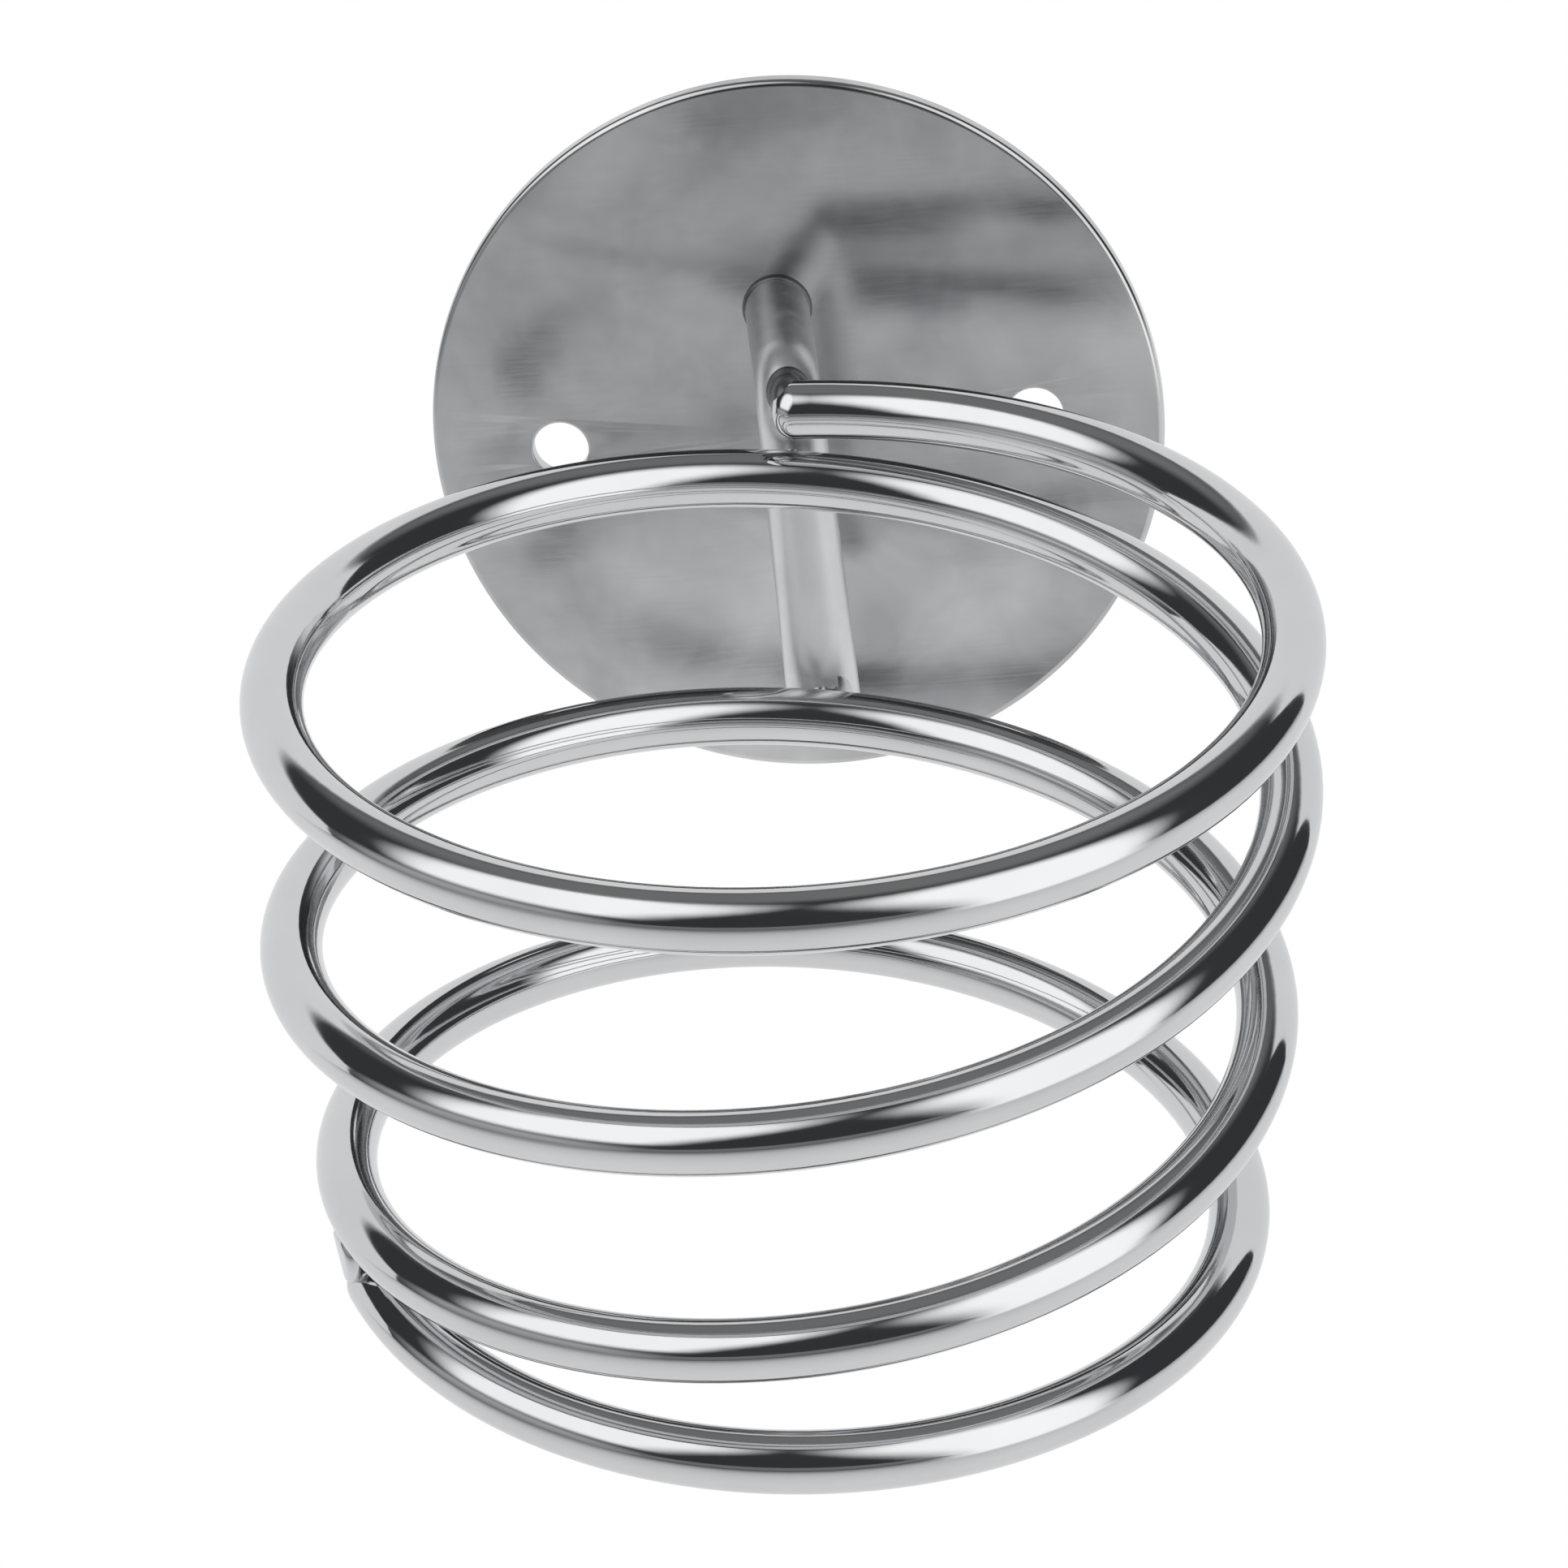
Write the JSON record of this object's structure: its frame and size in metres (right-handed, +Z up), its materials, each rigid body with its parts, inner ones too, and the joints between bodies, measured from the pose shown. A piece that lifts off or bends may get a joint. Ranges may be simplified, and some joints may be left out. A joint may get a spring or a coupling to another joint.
{
  "type": "hair dryer holder",
  "caption": "Wall-mounted spiral holder for a hair dryer: a coiled steel wire welded to a bent rod that stands out from a round plate with screw holes.",
  "frame": {"origin": "centre of the wall plate's back face, the face that meets the wall", "axes": "+Z up the wall, +Y out of the plate's back into the wall, +X to the right as a person facing the holder sees it; the coil stands out towards -Y"},
  "size_m": [0.1043, 0.131, 0.1012],
  "materials": {
    "plate_steel": "polished plate with soft, slightly cloudy reflections",
    "rod_steel": "polished rod",
    "coil_chrome": "bright mirror-like chrome",
    "weld_metal": "plated weld, slightly dull"
  },
  "bodies": {
    "root": {"wall_plate": "plate_steel", "support_rod": "rod_steel", "coil_wire": "coil_chrome", "weld_rod_base": "weld_metal", "weld_coil_start": "weld_metal", "weld_first_turn": "weld_metal", "weld_second_turn": "weld_metal", "weld_coil_tail": "weld_metal"}
  },
  "joints": []
}
